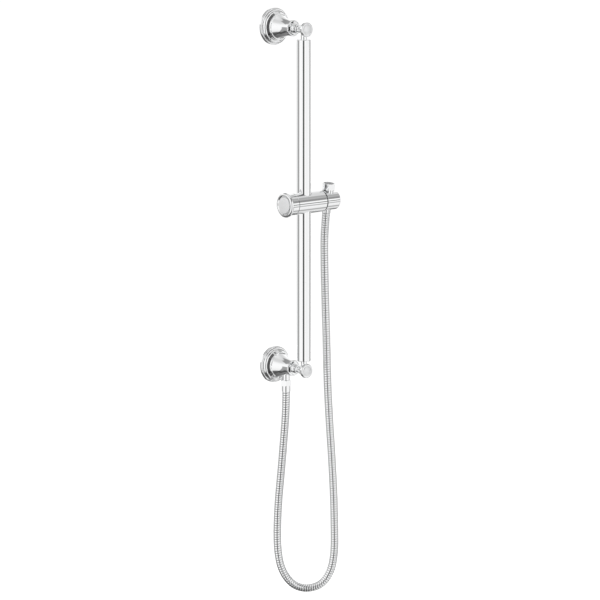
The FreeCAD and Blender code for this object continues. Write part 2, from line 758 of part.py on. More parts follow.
def lower_hose_washer():
    """Flat seal between the nipple and the hose's lower ferrule."""
    top = -(NIPPLE_END + dims.slip_gap)
    bottom = top - dims.washer_thickness
    outside = dims.nipple_thread_radius - dims.slip_gap
    body = new_piece("lower_hose_washer")
    turn(body, [
        (dims.outlet_bore, bottom), (outside, bottom), (outside, top), (dims.outlet_bore, top),
    ], "V_Axis")
    place(body, out=dims.outlet_reach)


def lower_hose_nut():
    """Hexagon nut that holds the hose to the nipple."""
    corner = dims.hose_nut_flats * HEX_CORNER
    lip_hole = dims.tail_radius + dims.slip_gap
    past = corner + dims.nut_gap
    body = new_piece("lower_hose_nut")
    add_hexagon(body, "XY_Plane", dims.hose_nut_flats, -NUT_BOTTOM, dims.hose_nut_height, dims.hose_nut_turn)
    bore(body, [
        (0, -NUT_BOTTOM),
        (lip_hole, -NUT_BOTTOM),
        (lip_hole, -LIP_TOP),
        (THREAD_HOLE, -LIP_TOP),
        (THREAD_HOLE, -dims.outlet_drop),
        (0, -dims.outlet_drop),
    ], "V_Axis")
    for end, inward in ((-NUT_BOTTOM, 1), (-dims.outlet_drop, -1)):
        bore(body, [
            (corner - dims.nut_chamfer, end),
            (past, end),
            (past, end + inward * dims.nut_chamfer),
        ], "V_Axis")
    place(body, out=dims.outlet_reach)


def lower_ferrule():
    """Crimped sleeve on the hose's lower end, with a flanged tail inside the nut."""
    sleeve_top = NUT_BOTTOM + dims.slip_gap
    sleeve_end = sleeve_top + dims.ferrule_length
    socket_top = sleeve_end - dims.ferrule_socket
    socket = dims.hose_radius + dims.hose_fit
    flange = dims.nipple_thread_radius - dims.slip_gap
    body = new_piece("lower_ferrule")
    turn(body, [
        (dims.outlet_bore, -TAIL_TOP),
        (flange, -TAIL_TOP),
        (flange, -(TAIL_TOP + dims.tail_flange)),
        (dims.tail_radius, -(TAIL_TOP + dims.tail_flange)),
        (dims.tail_radius, -sleeve_top),
        (dims.ferrule_radius, -sleeve_top),
        (dims.ferrule_radius, -sleeve_end),
        (socket, -sleeve_end),
        (socket, -socket_top),
        (dims.outlet_bore, -socket_top),
    ], "V_Axis")
    place(body, out=dims.outlet_reach)


# Slider. Distances along the barrel run from the rail's axis, towards the button below 0

YOKE_SIDE = dims.rail_radius + dims.yoke_gap + dims.yoke_wall
HALF_YOKE = dims.yoke_height / 2
BORE = root(YOKE_SIDE * YOKE_SIDE + HALF_YOKE * HALF_YOKE) + dims.bore_gap
BARREL_RADIUS = BORE + dims.barrel_wall
BARREL_FLOOR = dims.barrel_right - dims.barrel_end_wall
SPIGOT_RADIUS = BORE + dims.spigot_wall
SPIGOT_END = -(dims.barrel_left + dims.spigot_length)
BUSH_INSIDE = dims.rail_radius + dims.bush_gap
BUSH_OUTSIDE = BUSH_INSIDE + dims.bush_wall
BUSH_BOTTOM = HALF_YOKE + dims.bush_lift
BUSH_TOP = root(BARREL_RADIUS * BARREL_RADIUS - BUSH_OUTSIDE * BUSH_OUTSIDE) - dims.bush_margin
BEZEL_FACE = -(dims.barrel_left + dims.bezel_length)
BUTTON_FACE = BEZEL_FACE - dims.button_proud
BUTTON_FLANGE = BUTTON_FACE + dims.button_body


def on_slider(body, rotation=UPRIGHT):
    """Put a piece on the slider's axis."""
    place(body, out=dims.rail_standoff, up=dims.slider_height, rotation=rotation)


def slider_barrel():
    """Barrel across the rail, bored from the button's end, with a wall for the cradle's pivot."""
    pivot_hole = dims.pivot_radius + dims.bush_gap
    edge = dims.barrel_edge
    left = -dims.barrel_left
    body = new_piece("slider_barrel")
    turn(body, [
        (SPIGOT_END, BORE),
        (SPIGOT_END, SPIGOT_RADIUS),
        (left, SPIGOT_RADIUS),
        (left, BARREL_RADIUS - dims.joint_chamfer),
        (left + dims.joint_chamfer, BARREL_RADIUS),
        (dims.barrel_right - edge, BARREL_RADIUS, rounding(edge)),
        (dims.barrel_right, BARREL_RADIUS - edge),
        (dims.barrel_right, pivot_hole),
        (BARREL_FLOOR, pivot_hole),
        (BARREL_FLOOR, BORE),
    ])
    mouth = dims.rail_radius + dims.rail_hole_gap
    seat = BUSH_OUTSIDE + dims.bush_gap
    seat_top = BUSH_TOP + dims.slip_gap
    past = BARREL_RADIUS * PAST
    bore(body, [
        (0, -past),
        (mouth, -past),
        (mouth, -seat_top),
        (seat, -seat_top),
        (seat, seat_top),
        (mouth, seat_top),
        (mouth, past),
        (0, past),
    ], "V_Axis")
    on_slider(body)


def rail_bush(label, rotation):
    """Plastic ring that runs on the rail in one of the barrel's two rail holes."""
    body = new_piece(label)
    turn(body, [
        (BUSH_INSIDE, BUSH_BOTTOM),
        (BUSH_OUTSIDE, BUSH_BOTTOM),
        (BUSH_OUTSIDE, BUSH_TOP),
        (BUSH_INSIDE, BUSH_TOP),
    ], "V_Axis")
    on_slider(body, rotation)


def button_bezel():
    """End cap of the barrel with a swelling rim round the button."""
    joint = -dims.barrel_left - dims.slip_gap
    spigot = SPIGOT_RADIUS + dims.slip_gap
    rim_radius = BARREL_RADIUS + dims.bezel_step
    rim_back = BEZEL_FACE + dims.bezel_rim
    button_hole = dims.button_radius + dims.button_gap
    shoulder = BUTTON_FLANGE - dims.button_gap
    face_outside = button_hole + dims.bezel_face_width
    spigot_floor = SPIGOT_END - dims.slip_gap
    body = new_piece("button_bezel")
    turn(body, [
        (joint, spigot),
        (spigot_floor, spigot),
        (spigot_floor, BORE),
        (shoulder, BORE),
        (shoulder, button_hole),
        (BEZEL_FACE + dims.bezel_dish, button_hole),
        (BEZEL_FACE, face_outside, dims.bezel_rim_bulge),
        (rim_back, rim_radius),
        (rim_back + dims.bezel_flare, BARREL_RADIUS),
        (joint - dims.joint_chamfer, BARREL_RADIUS),
        (joint, BARREL_RADIUS - dims.joint_chamfer),
    ])
    on_slider(body)


def release_button():
    """Domed push button with a flange that keeps it in the bezel and a stem to the brake yoke."""
    flange_radius = BORE - dims.button_gap
    flange_end = BUTTON_FLANGE + dims.button_flange
    edge = dims.button_edge
    rim = BUTTON_FACE + dims.button_dome
    face_radius = dims.button_radius - edge
    body = new_piece("release_button")
    turn(body, [
        (BUTTON_FACE, 0, doming(face_radius, dims.button_dome)),
        (rim, face_radius, rounding(edge)),
        (rim + edge, dims.button_radius),
        (BUTTON_FLANGE, dims.button_radius),
        (BUTTON_FLANGE, flange_radius),
        (flange_end, flange_radius),
        (flange_end, dims.button_stem_radius),
        (-dims.yoke_left, dims.button_stem_radius),
        (-dims.yoke_left, 0),
    ])
    on_slider(body)


def brake_yoke():
    """Yoke round the rail. The spring pulls it against the rail and the button pushes it free."""
    hole = dims.rail_radius + dims.yoke_gap
    back = -(dims.button_travel + dims.yoke_gap)
    left = -dims.yoke_left
    right = dims.yoke_right
    corner = dims.yoke_round
    body = new_piece("brake_yoke")
    sketch = new_sketch(body, "XY_Plane")
    draw_loop(sketch, [
        (left, -(YOKE_SIDE - corner), -rounding(corner)),
        (left + corner, -YOKE_SIDE),
        (right - corner, -YOKE_SIDE, -rounding(corner)),
        (right, -(YOKE_SIDE - corner)),
        (right, YOKE_SIDE - corner, -rounding(corner)),
        (right - corner, YOKE_SIDE),
        (left + corner, YOKE_SIDE, -rounding(corner)),
        (left, YOKE_SIDE - corner),
    ])
    draw_loop(sketch, [
        (back, -hole),
        (0, -hole, -rounding(hole)),
        (hole, 0, -rounding(hole)),
        (0, hole),
        (back, hole, -rounding(hole)),
        (back - hole, 0, -rounding(hole)),
    ])
    raise_outline(body, sketch, dims.yoke_height, symmetric=True)
    on_slider(body)


def brake_spring():
    """Helical spring between the yoke and the floor of the barrel's bore."""
    middle = BORE - dims.spring_gap - dims.spring_wire
    start = dims.yoke_right + dims.spring_wire + dims.slip_gap
    end = BARREL_FLOOR - dims.spring_wire - dims.slip_gap
    body = new_piece("brake_spring")
    sketch = new_sketch(body, "XZ_Plane")
    draw_circle(sketch, start, middle, dims.spring_wire)
    coil = add_feature(body, "AdditiveHelix", sketch)
    coil.ReferenceAxis = (sketch, ["H_Axis"])
    coil.Mode = "height-turns-angle"
    coil.setExpression("Height", (end - start).text)
    coil.setExpression("Turns", dims.spring_turns.text)
    on_slider(body)


# Cradle, which turns about the barrel's axis and leans outward at rest

CRADLE_START = dims.barrel_right + dims.swivel_gap
CRADLE_END = CRADLE_START + dims.cradle_length
SOCKET_AXIS = CRADLE_START + dims.socket_reach
RETAINER_END = BARREL_FLOOR - dims.slip_gap
RETAINER_START = RETAINER_END - dims.retainer_thickness
HEX_FOOT = dims.cradle_radius + dims.cone_nut_lift
CONE_END = HEX_FOOT - dims.cone_length


def on_cradle(body, across=0):
    """Put a piece on the cradle, with its lean."""
    on_slider(body, FreeCAD.Rotation(FreeCAD.Vector(1, 0, 0), dims.rest_tilt.value))
    body.setExpression("Placement.Base.x", as_size(across).text)
    body.setExpression("Placement.Rotation.Angle", dims.rest_tilt.text)


def cone_radius(height):
    """Radius of the coupling nut's cone at a height above the barrel's axis."""
    return dims.cone_top_radius - (HEX_FOOT - height) * dims.cone_drop / dims.cone_length


def cradle():
    """Drum on a pivot, with a tapered socket and a slot that lets the hose in from its end."""
    thread = dims.pivot_screw_radius + dims.slip_gap
    thread_end = RETAINER_END + dims.pivot_screw_length + dims.end_gap
    edge = dims.barrel_edge
    big = dims.cradle_round
    body = new_piece("cradle")
    turn(body, [
        (RETAINER_END, thread),
        (RETAINER_END, dims.pivot_radius),
        (CRADLE_START, dims.pivot_radius),
        (CRADLE_START, dims.cradle_radius - edge, rounding(edge)),
        (CRADLE_START + edge, dims.cradle_radius),
        (CRADLE_END - big, dims.cradle_radius, rounding(big)),
        (CRADLE_END, dims.cradle_radius - big),
        (CRADLE_END, 0),
        (thread_end, 0),
        (thread_end, thread),
    ])
    past = dims.cradle_radius * PAST
    bore(body, [
        (0, -past),
        (cone_radius(-past) + dims.cone_fit, -past),
        (cone_radius(past) + dims.cone_fit, past),
        (0, past),
    ], "V_Axis", along=SOCKET_AXIS)
    half_slot = dims.slot_width / 2
    slot_end = CRADLE_END * PAST
    slot = new_sketch(body, "XY_Plane")
    draw_loop(slot, [
        (SOCKET_AXIS, -half_slot), (slot_end, -half_slot), (slot_end, half_slot), (SOCKET_AXIS, half_slot),
    ])
    cut_through(body, slot)
    on_cradle(body)


def swivel_washer():
    """Thin washer between the barrel and the cradle."""
    start = dims.barrel_right + (dims.swivel_gap - dims.swivel_washer) / 2
    end = start + dims.swivel_washer
    inside = dims.pivot_radius + dims.yoke_gap
    outside = BARREL_RADIUS - dims.swivel_inset
    body = new_piece("swivel_washer")
    turn(body, [(start, inside), (start, outside), (end, outside), (end, inside)])
    on_slider(body)


def cradle_retainer():
    """Washer that keeps the cradle's pivot in the barrel."""
    hole = dims.pivot_screw_radius + dims.slip_gap
    body = new_piece("cradle_retainer")
    turn(body, [
        (RETAINER_START, hole),
        (RETAINER_START, dims.retainer_radius),
        (RETAINER_END, dims.retainer_radius),
        (RETAINER_END, hole),
    ])
    on_cradle(body)


def pivot_screw():
    """Screw through the retainer into the cradle's pivot."""
    head = RETAINER_START - dims.pivot_head_height
    tip = RETAINER_END + dims.pivot_screw_length
    body = new_piece("pivot_screw")
    turn(body, [
        (head, 0),
        (head, dims.pivot_screw_head),
        (RETAINER_START, dims.pivot_screw_head),
        (RETAINER_START, dims.pivot_screw_radius),
        (tip, dims.pivot_screw_radius),
        (tip, 0),
    ])
    on_cradle(body)


# Hose and its upper end, in the cradle's leaning frame

HEX_TOP = HEX_FOOT + dims.cone_nut_height
MOUTH_FLOOR = HEX_TOP - dims.handset_thread_depth
UPPER_TAIL_TOP = MOUTH_FLOOR - dims.slip_gap - dims.washer_thickness - dims.slip_gap
UPPER_LIP = UPPER_TAIL_TOP - dims.tail_flange - dims.slip_gap
SEAL_SEAT = dims.handset_thread_radius - dims.seal_step
UPPER_FLANGE = SEAL_SEAT - dims.slip_gap


def coupling_nut():
    """Nut for the hand shower: a hexagon on a cone that seats in the cradle's socket."""
    corner = dims.cone_nut_flats * HEX_CORNER
    mouth = dims.handset_thread_radius
    tail_hole = dims.tail_radius + dims.slip_gap
    body = new_piece("coupling_nut")
    turn(body, [
        (tail_hole, CONE_END),
        (cone_radius(CONE_END), CONE_END),
        (dims.cone_top_radius, HEX_FOOT),
        (tail_hole, HEX_FOOT),
    ], "V_Axis")
    add_hexagon(body, "XY_Plane", dims.cone_nut_flats, HEX_FOOT, dims.cone_nut_height, dims.hose_nut_turn)
    past = corner + dims.nut_gap
    for end, inward in ((HEX_FOOT, 1), (HEX_TOP, -1)):
        bore(body, [
            (corner - dims.nut_chamfer, end),
            (past, end),
            (past, end + inward * dims.nut_chamfer),
        ], "V_Axis")
    bore(body, [
        (0, UPPER_LIP),
        (SEAL_SEAT, UPPER_LIP),
        (SEAL_SEAT, MOUTH_FLOOR),
        (mouth, MOUTH_FLOOR),
        (mouth, HEX_TOP),
        (0, HEX_TOP),
    ], "V_Axis")
    on_cradle(body, SOCKET_AXIS)


def upper_hose_washer():
    """Flat seal at the bottom of the coupling nut's mouth."""
    top = MOUTH_FLOOR - dims.slip_gap
    bottom = top - dims.washer_thickness
    body = new_piece("upper_hose_washer")
    turn(body, [
        (dims.outlet_bore, bottom), (UPPER_FLANGE, bottom), (UPPER_FLANGE, top), (dims.outlet_bore, top),
    ], "V_Axis")
    on_cradle(body, SOCKET_AXIS)


def upper_ferrule():
    """Crimped sleeve on the hose's upper end, with a flanged tail inside the coupling nut."""
    sleeve_top = CONE_END - dims.slip_gap
    sleeve_end = sleeve_top - dims.ferrule_length
    socket = dims.hose_radius + dims.hose_fit
    socket_top = sleeve_end + dims.ferrule_socket
    flange_foot = UPPER_TAIL_TOP - dims.tail_flange
    body = new_piece("upper_ferrule")
    turn(body, [
        (dims.outlet_bore, UPPER_TAIL_TOP),
        (UPPER_FLANGE, UPPER_TAIL_TOP),
        (UPPER_FLANGE, flange_foot),
        (dims.tail_radius, flange_foot),
        (dims.tail_radius, sleeve_top),
        (dims.ferrule_radius, sleeve_top),
        (dims.ferrule_radius, sleeve_end),
        (socket, sleeve_end),
        (socket, socket_top),
        (dims.outlet_bore, socket_top),
    ], "V_Axis")
    on_cradle(body, SOCKET_AXIS)


def hose_line():
    """The hose's route as straight runs joined by tangent arcs. Returns the edges and the radii."""
    points = [FreeCAD.Vector(*point) for point in HOSE_ROUTE]
    edges = []
    radii = []
    reached = points[0]
    for before, corner, after in zip(points, points[1:], points[2:]):
        back = before - corner
        ahead = after - corner
        setback = ARC_SHARE * min(back.Length, ahead.Length)
        turning = math.pi - back.getAngle(ahead)
        radius = setback / math.tan(turning / 2)
        radii.append(radius)
        back.normalize()
        ahead.normalize()
        arc_start = corner + back * setback
        arc_end = corner + ahead * setback
        inward = (back + ahead).normalize()
        middle = corner + inward * (radius / math.cos(turning / 2) - radius)
        edges.append(Part.LineSegment(reached, arc_start).toShape())
        edges.append(Part.Arc(arc_start, middle, arc_end).toShape())
        reached = arc_end
    edges.append(Part.LineSegment(reached, points[-1]).toShape())
    return edges, radii


def hose():
    """Flexible hose, swept along its line."""
    edges, radii = hose_line()
    line = doc.addObject("Part::Feature", "hose_line")
    line.Shape = Part.Wire(edges)
    section = doc.addObject("Part::Circle", "hose_section")
    section.setExpression("Radius", dims.hose_radius.text)
    section.Placement = FreeCAD.Placement(FreeCAD.Vector(*HOSE_ROUTE[0]), UPRIGHT)
    sweep = doc.addObject("Part::Sweep", "hose")
    sweep.Label = "hose"
    sweep.Sections = [section]
    sweep.Spine = (line, [f"Edge{number + 1}" for number in range(len(edges))])
    sweep.Solid = True
    pieces.append(sweep)
    print("hose radii", [round(radius, 1) for radius in radii])
    print("hose length", round(line.Shape.Length, 1))
    return line, sweep


def build():
    """Make every piece. Returns the hose's line and solid."""
    upper_way = AWAY_FROM_WALL * UPSIDE_DOWN
    rail_tube()
    rail_plug("lower_rail_plug", 0, UPRIGHT)
    rail_plug("upper_rail_plug", dims.bracket_spacing, UPSIDE_DOWN)
    upper_escutcheon()
    upper_wall_plate()
    supply_body()
    post("lower_post", LOWER_STUD_END + dims.end_gap, NUT_SEAT, 0, AWAY_FROM_WALL)
    post("upper_post", dims.end_gap, dims.plate_boss_height, dims.bracket_spacing, upper_way)
    for end, up in (("lower", 0), ("upper", dims.bracket_spacing)):
        lock_nut(f"{end}_lock_nut", up)
        end_cap(f"{end}_end_cap", up, AWAY_FROM_WALL)
        clamp_screw(f"{end}_clamp_screw", up, AWAY_FROM_WALL)
    outlet_nipple()
    check_valve()
    lower_hose_washer()
    lower_hose_nut()
    lower_ferrule()
    slider_barrel()
    rail_bush("upper_rail_bush", UPRIGHT)
    rail_bush("lower_rail_bush", UPSIDE_DOWN)
    button_bezel()
    release_button()
    brake_yoke()
    brake_spring()
    cradle()
    swivel_washer()
    cradle_retainer()
    pivot_screw()
    coupling_nut()
    upper_hose_washer()
    upper_ferrule()
    return hose()


def check(hose_route, hose_solid):
    """Stop if anything failed, and compare the hose with its section times its length."""
    for item in doc.Objects:
        if "Invalid" in item.State or "Error" in item.State:
            raise RuntimeError(f"{item.Label} failed: {item.State}")
    for piece in pieces:
        if piece.Shape.isNull() or not piece.Shape.isValid() or not piece.Shape.Solids:
            raise RuntimeError(f"{piece.Label} has no valid shape")
    expected = math.pi * dims.hose_radius.value ** 2 * hose_route.Shape.Length
    print("hose volume against section times length", round(hose_solid.Shape.Volume / expected, 5))


def export():
    """Write each piece to its own file."""
    os.makedirs("parts", exist_ok=True)
    for piece in pieces:
        piece.Shape.exportStep(f"parts/{piece.Label}.step")


hose_route, hose_solid = build()
doc.recompute()
check(hose_route, hose_solid)
export()
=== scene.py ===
"""Looks of the shower slide rail: camera, studio, chrome finishes and the hanging metal hose.

Metres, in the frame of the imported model: +Z runs up the rail and the front faces -Y.
"""

import json
import math

import bpy
import numpy as np
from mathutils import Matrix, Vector


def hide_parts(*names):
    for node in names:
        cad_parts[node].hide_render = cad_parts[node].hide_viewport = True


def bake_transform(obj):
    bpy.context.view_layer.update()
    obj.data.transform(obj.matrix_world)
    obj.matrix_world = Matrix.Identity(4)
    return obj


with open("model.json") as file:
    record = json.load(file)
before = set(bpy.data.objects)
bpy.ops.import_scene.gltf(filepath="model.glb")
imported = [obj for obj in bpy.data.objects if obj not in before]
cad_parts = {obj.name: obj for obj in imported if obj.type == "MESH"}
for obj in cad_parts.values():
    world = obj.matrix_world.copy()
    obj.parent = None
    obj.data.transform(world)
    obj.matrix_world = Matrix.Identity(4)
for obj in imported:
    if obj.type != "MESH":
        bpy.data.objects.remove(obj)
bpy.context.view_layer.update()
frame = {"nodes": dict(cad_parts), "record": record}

# Camera: its direction in degrees, with azimuth 0 looking along +Y, and the width that it sees at its target
VIEW_AZIMUTH = -40.65
VIEW_ELEVATION = 9.85
VIEW_DISTANCE = 6.2
VIEW_WIDTH = 1.068
SENSOR_MM = 36.0
# The camera's target, by its height along the rail's axis and its distance to the left of it
RAIL_AXIS = Vector((0.0, -0.082, 0.0))
VIEW_HEIGHT = 0.1276
VIEW_LEFT_OF_RAIL = 0.007

# Route of the hose, the same points as in the part's source
HOSE_ROUTE = (
    (0.0, -0.033, -0.0377),
    (0.0, -0.033, -0.076),
    (-0.0031, -0.0304, -0.130),
    (-0.0067, -0.0274, -0.188),
    (-0.0107, -0.0240, -0.244),
    (-0.0127, -0.0224, -0.296),
    (-0.0121, -0.0229, -0.342),
    (-0.0061, -0.0279, -0.378),
    (0.0092, -0.0407, -0.4048),
    (0.0303, -0.0583, -0.412),
    (0.0503, -0.0750, -0.4028),
    (0.0629, -0.0856, -0.3765),
    (0.0672, -0.0892, -0.341),
    (0.0671, -0.0890, -0.298),
    (0.0660, -0.0882, -0.240),
    (0.0634, -0.0860, -0.172),
    (0.0597, -0.0829, -0.100),
    (0.0568, -0.0805, -0.026),
    (0.0556, -0.0795, 0.048),
    (0.0546, -0.0773, 0.118),
    (0.0545, -0.0749, 0.184),
    (0.0550, -0.07343, 0.24097),
    (0.0550, -0.07969, 0.28553),
)
ROUTE_STEPS = 24
HOSE_RADIUS = 0.00725
# The hose is an interlocked metal strip, wound as a spiral
RIB_PITCH = 0.0043
RIB_DEPTH = 0.0009
RIB_FLATNESS = 7
RINGS_PER_RIB = 10
SIDES = 28
# Depth, as a share of a groove's, from which the groove's faces are painted dark: painted shade standing in for the
# shadow down in the spiral's groove
PAINTED_SHADE_DEPTH = 0.3
# Heights along the hose: the ends of its two sleeves, and the cuts between its runs
SLEEVE_END = -0.046
OUTLET_CUT = -0.340
LOOP_CUT = -0.350
SLIDE_CUT = -0.050
TURN_CUT = 0.115
SLEEVE_FOOT = 0.268
# How far inside its cuts each run's blend ends lie
SETTLED = 0.008
# Ends of the loop's blend, this far out to either side of its lowest point
FAR = 20.0

# The coupling nut's mouth: a point on its axis, the axis and a radius just outside its thread
MOUTH_FOOT = Vector((0.055, -0.082, 0.302))
MOUTH_AXIS = Vector((0.0, -0.139173, 0.990268))
MOUTH_RADIUS = 0.0095

# Plated metals: name, colour, lowest and highest roughness, height of the polishing wave, share of metal
CHROMES = (
    ("polished_chrome", (0.94, 0.945, 0.95), 0.03, 0.06, 0.00001, 1.0),
    ("satin_chrome", (0.96, 0.965, 0.97), 0.40, 0.50, 0.00001, 0.9),
    ("satin_button", (0.94, 0.945, 0.95), 0.45, 0.55, 0.00001, 0.35),
    ("cut_thread", (0.86, 0.865, 0.87), 0.45, 0.60, 0.00002, 0.5),
    ("hose_chrome", (0.93, 0.935, 0.94), 0.05, 0.09, 0.00001, 1.0),
    # Painted shade: a dark colour for the hose's grooves, standing in for the shadow between the strip's turns
    ("hose_painted_groove_shade", (0.22, 0.225, 0.23), 0.35, 0.50, 0.00001, 1.0),
)
# Steels: name, colour, and how much closer their marks lie along each axis
STEELS = (
    ("plate_steel", (0.62, 0.63, 0.64), (1, 1, 1)),
    ("screw_steel", (0.55, 0.56, 0.57), (6, 1, 1)),
    ("spring_steel", (0.58, 0.58, 0.58), (1, 6, 6)),
)
# Plastics and rubber: name, darkest and lightest colour, roughness, height of the grain
MOULDINGS = (
    ("seal_rubber", (0.015, 0.015, 0.015), (0.03, 0.03, 0.03), 0.7, 0.00005),
    ("dark_plastic", (0.012, 0.012, 0.014), (0.025, 0.025, 0.028), 0.45, 0.00003),
    ("white_plastic", (0.74, 0.74, 0.72), (0.82, 0.82, 0.80), 0.4, 0.00003),
)
# Nodes with another finish than their slot's
SATIN_FINISHES = {"lower_end_cap": "satin_chrome", "upper_end_cap": "satin_chrome", "release_button": "satin_button"}
# Noise of each kind of mark: scale and detail
BUFFING_MARKS = (220, 4)
POLISHING_WAVE = (45, 2)
STEEL_MARKS = (300, 6)
MOULD_GRAIN = (600, 5)
STEEL_ROUGHNESS = (0.25, 0.45)
STEEL_MARK_HEIGHT = 0.00004
GRAIN_ROUGHNESS = 0.08

FLOOR_HEIGHT = -0.58
FLOOR_SIZE = 80.0
FLOOR_COLOR = (0.9, 0.9, 0.9)
FLOOR_ROUGHNESS = 0.9
FLOOR_GLOW = 0.55

# Studio that the chrome mirrors: brightness by elevation, and panels in front of it with their first
# and last azimuth, first and last elevation, share of light let through and width of their soft edge
STUDIO_LEVELS = ((-90, 0.4), (-64, 0.65), (-52, 0.8), (-38, 0.9), (-28, 0.95), (-16, 1.0), (24, 1.0), (40, 0.8),
                 (58, 0.7), (74, 0.8), (90, 0.9))
PANELS = (
    ("camera_side", 301, 326, -52, 36, 0.09, 4),
    ("above_camera", 314, 362, 34, 66, 0.16, 4),
    ("above_front", -2, 38, 48, 72, 0.25, 4),
    ("left_flag", 200, 238, -60, 6, 0.36, 4),
    ("back_low", 138, 222, -90, -27, 0.26, 14),
    ("back_high", 145, 216, 33, 60, 0.42, 8),
    ("floor_left", 222, 350, -90, -44, 0.14, 14),
    ("right_top_high", 34, 92, 14, 46, 0.55, 4),
    ("right_top_low", 34, 92, 14, 30, 0.55, 4),
    ("right_back_low", 104, 136, -46, -14, 0.25, 4),
    ("right_low_streak", 62, 80, -49, -42, 0.5, 4),
    ("front_left_tint", 342, 362, -60, 14, 0.95, 4),
    ("front_tint", -2, 32, -60, 14, 0.95, 4),
    ("front_card", 3, 15, -36, -14, 0.2, 4),
    ("right_front_card", 57, 72, -36, 12, 0.2, 4),
    ("right_side_card", 91, 105, -36, 12, 0.2, 4),
    ("back_card", 156, 178, -40, 14, 0.2, 4),
    ("right_card", 30, 52, -22, -13, 0.5, 4),
    ("right_slot", 34, 48, -4.5, 1.5, 0.12, 4),
)
FULL_TURN = 360
ELEVATION_SPAN = 180
WORLD_FILL = 0.55
# Lamps: name, azimuth, elevation, distance, size, power
LAMPS = (
    ("key_light", -75, 55, 3.0, 1.6, 30),
    ("fill_light", 60, 40, 3.0, 2.0, 15),
)

scene = bpy.context.scene
nodes = frame["nodes"]


def towards(azimuth, elevation):
    """Direction from the object to a place seen at an azimuth and an elevation."""
    a, e = math.radians(azimuth), math.radians(elevation)
    return Vector((math.sin(a) * math.cos(e), -math.cos(a) * math.cos(e), math.sin(e)))


def add_object(name, data):
    """Put new data into the scene."""
    piece = bpy.data.objects.new(name, data)
    scene.collection.objects.link(piece)
    return piece


def make_camera():
    """Camera at the photograph's angle."""
    back = towards(VIEW_AZIMUTH, VIEW_ELEVATION)
    right = towards(VIEW_AZIMUTH + 90, 0)
    target = RAIL_AXIS + Vector((0, 0, VIEW_HEIGHT)) - right * VIEW_LEFT_OF_RAIL
    data = bpy.data.cameras.new("camera")
    data.sensor_width = SENSOR_MM
    data.lens = SENSOR_MM * VIEW_DISTANCE / VIEW_WIDTH
    data.clip_end = FLOOR_SIZE
    camera = add_object("camera", data)
    camera.location = target + back * VIEW_DISTANCE
    camera.rotation_euler = (-back).to_track_quat("-Z", "Y").to_euler()
    scene.camera = camera


# Hose

def route_points():
    """Points along the hose's NURBS spline."""
    curve = bpy.data.curves.new("hose_route", "CURVE")
    curve.dimensions = "3D"
    curve.resolution_u = ROUTE_STEPS
    spline = curve.splines.new("NURBS")
    spline.points.add(len(HOSE_ROUTE) - 1)
    for point, place in zip(spline.points, HOSE_ROUTE):
        point.co = (*place, 1)
    spline.order_u = 3
    spline.use_endpoint_u = True
    route = bpy.data.objects.new("hose_route", curve)
    mesh = bpy.data.meshes.new_from_object(route)
    points = np.array([vertex.co for vertex in mesh.vertices])
    bpy.data.objects.remove(route)
    bpy.data.meshes.remove(mesh)
    return points


def evenly(points):
    """The same line with a fixed number of points for each rib."""
    runs = np.linalg.norm(np.diff(points, axis=0), axis=1)
    reached = np.concatenate([[0.0], np.cumsum(runs)])
    count = round(reached[-1] / RIB_PITCH) * RINGS_PER_RIB
    places = np.linspace(0.0, reached[-1], count + 1)
    return np.column_stack([np.interp(places, reached, points[:, axis]) for axis in range(3)])


def groove(turn):
    """Depth of the strip's surface below its crown, from 0 to 1, by turns of the spiral."""
    from_crown = np.abs((turn % 1.0) - 0.5) * 2
    return from_crown ** RIB_FLATNESS


def hose_rings(line):
    """Rings of the hose's surface. Each ring is turned on from the last without twist."""
    ways = np.gradient(line, axis=0)
    ways /= np.linalg.norm(ways, axis=1)[:, None]
    angles = np.linspace(0, 2 * math.pi, SIDES, endpoint=False)
    side = np.array((1.0, 0.0, 0.0))
    rings = []
    for number, (centre, way) in enumerate(zip(line, ways)):
        side = side - way * (side @ way)
        side /= np.linalg.norm(side)
        turns = number / RINGS_PER_RIB - angles / (2 * math.pi)
        radii = HOSE_RADIUS - RIB_DEPTH * groove(turns)
        around = np.outer(np.cos(angles), side) + np.outer(np.sin(angles), np.cross(way, side))
        rings.append(centre + radii[:, None] * around)
    return rings


def hose_run(name, line, rings, first, last, finishes):
    """One run of the hose between two of its rings, with the strip's finish and a dark finish that paints shade into
    its grooves.
    """
    chosen = rings[first:last + 1]
    faces = []
    painted_shade_faces = []
    for ring in range(len(chosen) - 1):
        for corner in range(SIDES):
            after = (corner + 1) % SIDES
            faces.append((ring * SIDES + corner, ring * SIDES + after,
                          (ring + 1) * SIDES + after, (ring + 1) * SIDES + corner))
            # Faces deep in the spiral groove get the second, dark finish: painted shade
            turn = (first + ring + 0.5) / RINGS_PER_RIB - (corner + 0.5) / SIDES
            painted_shade_faces.append(int(groove(turn) > PAINTED_SHADE_DEPTH))
    mesh = bpy.data.meshes.new(name)
    mesh.from_pydata(np.concatenate(chosen).tolist(), [], faces)
    mesh.shade_smooth()
    for finish in finishes:
        mesh.materials.append(finish)
    mesh.polygons.foreach_set("material_index", painted_shade_faces)
    piece = add_object(name, mesh)
    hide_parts("hose")
    path = line[first:last + 1]
    length = float(np.linalg.norm(np.diff(path, axis=0), axis=1).sum())
    return piece, path, length


def level(height):
    """A point on the rail's axis at a height, for runs that stretch up or down."""
    return (RAIL_AXIS.x, RAIL_AXIS.y, height)


